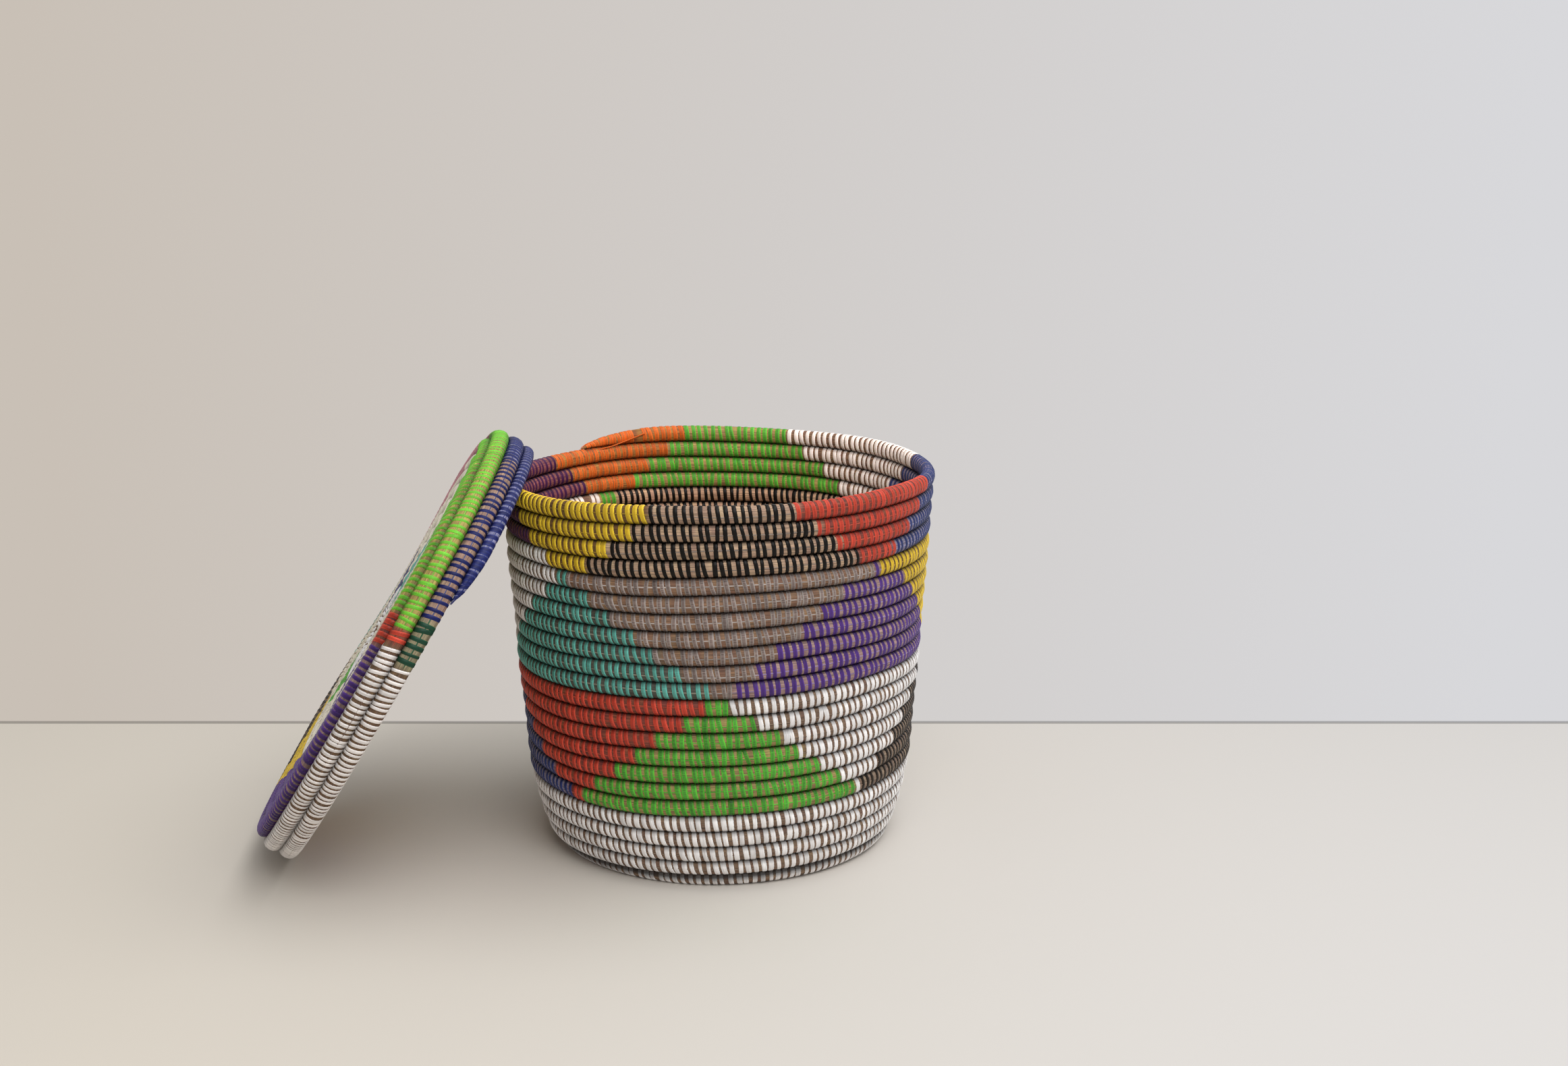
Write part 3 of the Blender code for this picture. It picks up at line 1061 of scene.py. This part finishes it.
# %% The four loose ends
inside, outside = -1, 1
loose_end(
    "rim_tail_end",
    basket,
    "orange",
    outside,
    0.0005,
    [(0.030, 0, -0.004), (0.018, 0.001, 0.001), (0.008, 0.001, 0.006), (-0.001, 0, 0.011)],
)
loose_end(
    "rim_tail_strand",
    basket,
    "orange",
    inside,
    0.0005,
    [(0.060, 0, 0.002), (0.040, 0.0006, -0.003), (0.022, 0.001, -0.008), (0.006, 0, -0.013)],
)
loose_end(
    "inner_black_end",
    basket,
    "black",
    inside,
    0.0007,
    [(4.45, 0, 0.004), (4.47, 0.001, 0.001), (4.50, 0.001, -0.002), (4.52, 0, -0.006)],
)
loose_end(
    "lid_tail_end",
    lid,
    "navy",
    outside,
    0.0003,
    [(0.020, 0, 0.000), (0.010, 0.001, 0.003), (0.000, 0.002, 0.008), (-0.001, 0.004, 0.014)],
)

# %% [markdown]
# ## The start of each coil
# The spiral begins as a tight knot of grass. It could be wound like the rest, but it is hardly wider than
# one row, and a flattened ball with a few grooves shows the same. It fills the place of the CAD's knot.

# %% Both knots of grass
knot_strands = 9
knot_groove = 0.12
knot_spread = 1.04


def start_knot(node, turn, body):
    points = np.array([v.co for v in frame["nodes"][node].data.vertices])
    axes = np.array(turn)[:3, :3]
    local = points @ axes
    low, high = local.min(0), local.max(0)
    bm = bmesh.new()
    bmesh.ops.create_uvsphere(bm, u_segments=24, v_segments=12, radius=1.0)
    for vert in bm.verts:
        angle = math.atan2(vert.co.y, vert.co.x)
        vert.co.z *= 1 + knot_groove * math.cos(knot_strands * angle) * math.hypot(vert.co.x, vert.co.y)
    name = f"{node}_wrapped"
    mesh = mesh_from(bm, name)
    unit = points_of(mesh)
    spread = [knot_spread, knot_spread, 1.0]
    move_points(mesh, ((low + high) / 2 + unit * (high - low) / 2 * spread) @ axes.T)
    draw_colours(mesh, "grass_colour", np.tile(linear(sewings["white"].gap), (len(unit), 1)))
    draw_uv(mesh, "bundle", np.column_stack([unit[:, 2], np.arctan2(unit[:, 1], unit[:, 0])]) * knot_radius)
    piece = finish_mesh(name, mesh, body, grass)
    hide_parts(node)
    print(name, "faces", len(mesh.polygons))


start_knot("base_start_knot", upright, "basket")
start_knot("lid_start_knot", lid_turn, "lid")

# %% [markdown]
# ## The set
# A pale floor, and the same floor a shade darker behind the basket, where a wall would stand. A second
# plane could be that wall, but it would hide the basket from behind. So one wide plane does both, and its
# colours depend on where a point lies as the camera sees it.

# %% Floor
floor_size = 12.0
bm = bmesh.new()
bmesh.ops.create_grid(bm, x_segments=2, y_segments=2, size=floor_size)
floor_mesh = mesh_from(bm, "floor")
floor = bpy.data.objects.new("floor", floor_mesh)
bpy.context.scene.collection.objects.link(floor)
print("floor faces", len(floor_mesh.polygons))


# %% Rays that see the set
def seen_directly(material):
    """The output that is 1 for what is seen straight, in a shine or through glass, and 0 for other rays."""
    path = add_node(material, "ShaderNodeLightPath")
    direct = (path, "Is Camera Ray")
    for kind in ("Is Glossy Ray", "Is Transmission Ray"):
        either = add_node(
            material,
            "ShaderNodeMath",
            {"operation": "ADD", "use_clamp": True},
            links={0: direct, 1: (path, kind)},
        )
        direct = (either, "Value")
    return direct


# %% Painted light: warm on the left, cool on the right
camera_place = Vector((0.0434, -1.2590, 0.4702))
# The change from left to right is painted light: the floor goes from warm to cool, and the wall from darker
# and warmer to lighter and cooler.
floor_colours = [linear("#D9D1C5"), linear("#D3D0CD")]
wall_colours = [linear("#C9C0B6"), linear("#D8D8DB")]
side_reach = 0.36
painted = new_material("painted_floor")
place = add_node(painted, "ShaderNodeTexCoord")
ray = add_node(
    painted,
    "ShaderNodeVectorMath",
    {"operation": "SUBTRACT"},
    {1: (camera_place.x, camera_place.y, 0)},
    {0: (place, "Object")},
)
ray = add_node(painted, "ShaderNodeVectorMath", {"operation": "NORMALIZE"}, links={0: (ray, "Vector")})
ray_parts = add_node(painted, "ShaderNodeSeparateXYZ", links={"Vector": (ray, "Vector")})
rightwards = add_node(
    painted,
    "ShaderNodeMapRange",
    values={"From Min": -side_reach, "From Max": side_reach},
    links={"Value": (ray_parts, "X")},
)
print("the colours change over", 2 * side_reach, "of the view's width")

# %% The line where the floor and the wall meet
wall_distance = 0.230
wall_edge = 0.002
line_inner, line_outer, line_tone = 0.0025, 0.0045, 0.55
parts = add_node(painted, "ShaderNodeSeparateXYZ", links={"Vector": (place, "Object")})
behind = add_node(
    painted,
    "ShaderNodeMapRange",
    values={"From Min": wall_distance - wall_edge, "From Max": wall_distance + wall_edge},
    links={"Value": (parts, "Y")},
)
off_line = add_node(
    painted, "ShaderNodeMath", {"operation": "SUBTRACT"}, {1: wall_distance}, {0: (parts, "Y")}
)
off_line = add_node(painted, "ShaderNodeMath", {"operation": "ABSOLUTE"}, links={0: (off_line, "Value")})
foot_line = add_node(
    painted,
    "ShaderNodeMapRange",
    values={"From Min": line_inner, "From Max": line_outer, "To Min": line_tone, "To Max": 1.0},
    links={"Value": (off_line, "Value")},
)
shades = []
for left, right in (floor_colours, wall_colours):
    mixed = add_node(
        painted,
        "ShaderNodeMix",
        {"data_type": "RGBA"},
        {6: (*left, 1), 7: (*right, 1)},
        {0: (rightwards, "Result")},
    )
    shade = add_node(
        painted, "ShaderNodeHueSaturation", links={"Color": (mixed, 2), "Value": (foot_line, "Result")}
    )
    shades.append((shade, "Color"))
ground, backdrop = shades
print("wall stands at y in mm", wall_distance * 1000)

# %% Matt near the basket, a glow where no lamp reaches
# The wall glows too, so that it shows its own colours. The glow is there only for rays that see it, so it
# doesn't light the floor or the basket.
glow_start, glow_full = 1.1, 2.2
matt = add_node(painted, "ShaderNodeBsdfDiffuse", links={"Color": ground})
far_glow = add_node(painted, "ShaderNodeEmission", values={"Strength": 1.0}, links={"Color": ground})
wall_glow = add_node(painted, "ShaderNodeEmission", values={"Strength": 1.0}, links={"Color": backdrop})
direct = seen_directly(painted)
far_off = add_node(painted, "ShaderNodeVectorMath", {"operation": "LENGTH"}, links={0: (place, "Object")})
far_off = add_node(
    painted,
    "ShaderNodeMapRange",
    values={"From Min": glow_start, "From Max": glow_full},
    links={"Value": (far_off, "Value")},
)
look = (matt, "BSDF")
for region, glow in ((far_off, far_glow), (behind, wall_glow)):
    seen = add_node(
        painted, "ShaderNodeMath", {"operation": "MULTIPLY"}, links={0: direct, 1: (region, "Result")}
    )
    blend = add_node(
        painted, "ShaderNodeMixShader", links={0: (seen, "Value"), 1: look, 2: (glow, "Emission")}
    )
    look = (blend, "Shader")
add_node(painted, "ShaderNodeOutputMaterial", links={"Surface": look})
floor_mesh.materials.append(painted)
print("made", painted.name, "with nodes", len(painted.node_tree.nodes))

# %% [markdown]
# ## Light and camera
# Soft daylight from above: one large area lamp over the right side of the basket and one in front on the
# right. An image of a room could light it too, but lamps can be set one by one. The world fills the
# shadows, more from the right than from the left. The levels are set so that a colour comes out about as
# it is written.

# %% World
fill_from_left, fill_from_right = 0.26, 0.70
world = bpy.data.worlds.new("studio")
bpy.context.scene.world = world
world.use_nodes = True
world.node_tree.nodes.clear()
sky_place = add_node(world, "ShaderNodeTexCoord")
sky_parts = add_node(world, "ShaderNodeSeparateXYZ", links={"Vector": (sky_place, "Generated")})
fill_level = add_node(
    world,
    "ShaderNodeMapRange",
    values={"From Min": -1.0, "From Max": 1.0, "To Min": fill_from_left, "To Max": fill_from_right},
    links={"Value": (sky_parts, "X")},
)
fill = add_node(
    world,
    "ShaderNodeBackground",
    values={"Color": (*linear("#FFFFFF"), 1)},
    links={"Strength": (fill_level, "Result")},
)
print("fill from the left and the right", fill_from_left, fill_from_right)

# %% The sky that the camera sees
# The sky carries the same painted light as the wall, from darker and warmer on the left to lighter and
# cooler on the right.
sky_right = add_node(
    world,
    "ShaderNodeMapRange",
    values={"From Min": -side_reach, "From Max": side_reach},
    links={"Value": (sky_parts, "X")},
)
sky = add_node(
    world,
    "ShaderNodeMix",
    {"data_type": "RGBA"},
    {6: (*wall_colours[0], 1), 7: (*wall_colours[1], 1)},
    {0: (sky_right, "Result")},
)
sky_glow = add_node(world, "ShaderNodeBackground", values={"Strength": 1.0}, links={"Color": (sky, 2)})
chosen = add_node(
    world,
    "ShaderNodeMixShader",
    links={0: seen_directly(world), 1: (fill, "Background"), 2: (sky_glow, "Background")},
)
add_node(world, "ShaderNodeOutputWorld", links={"Surface": (chosen, "Shader")})
print("made", world.name, "with nodes", len(world.node_tree.nodes))

# %% Lamps
lamp_target = Vector((0, 0, 0.1))


def area_lamp(name, location, size, energy):
    data = bpy.data.lights.new(name, "AREA")
    data.energy = energy
    data.size = size
    lamp = bpy.data.objects.new(name, data)
    bpy.context.scene.collection.objects.link(lamp)
    lamp.location = location
    lamp.rotation_euler = (lamp_target - lamp.location).to_track_quat("-Z", "Y").to_euler()
    print(name, "metres across", size, "watts", energy)


area_lamp("key_lamp", (0.75, -0.10, 1.90), 1.5, 17.5)
area_lamp("front_lamp", (0.45, -1.45, 1.75), 1.3, 19.5)

# %% Camera
camera_down = 11.913
camera_data = bpy.data.cameras.new("camera")
camera_data.sensor_width = 36.0
camera_data.lens = 44.25
camera = bpy.data.objects.new("camera", camera_data)
bpy.context.scene.collection.objects.link(camera)
camera.location = camera_place
camera.rotation_euler = (math.radians(90 - camera_down), 0, 0)
bpy.context.scene.camera = camera
bpy.context.scene.view_settings.view_transform = "Standard"
print("lens in mm", camera_data.lens)
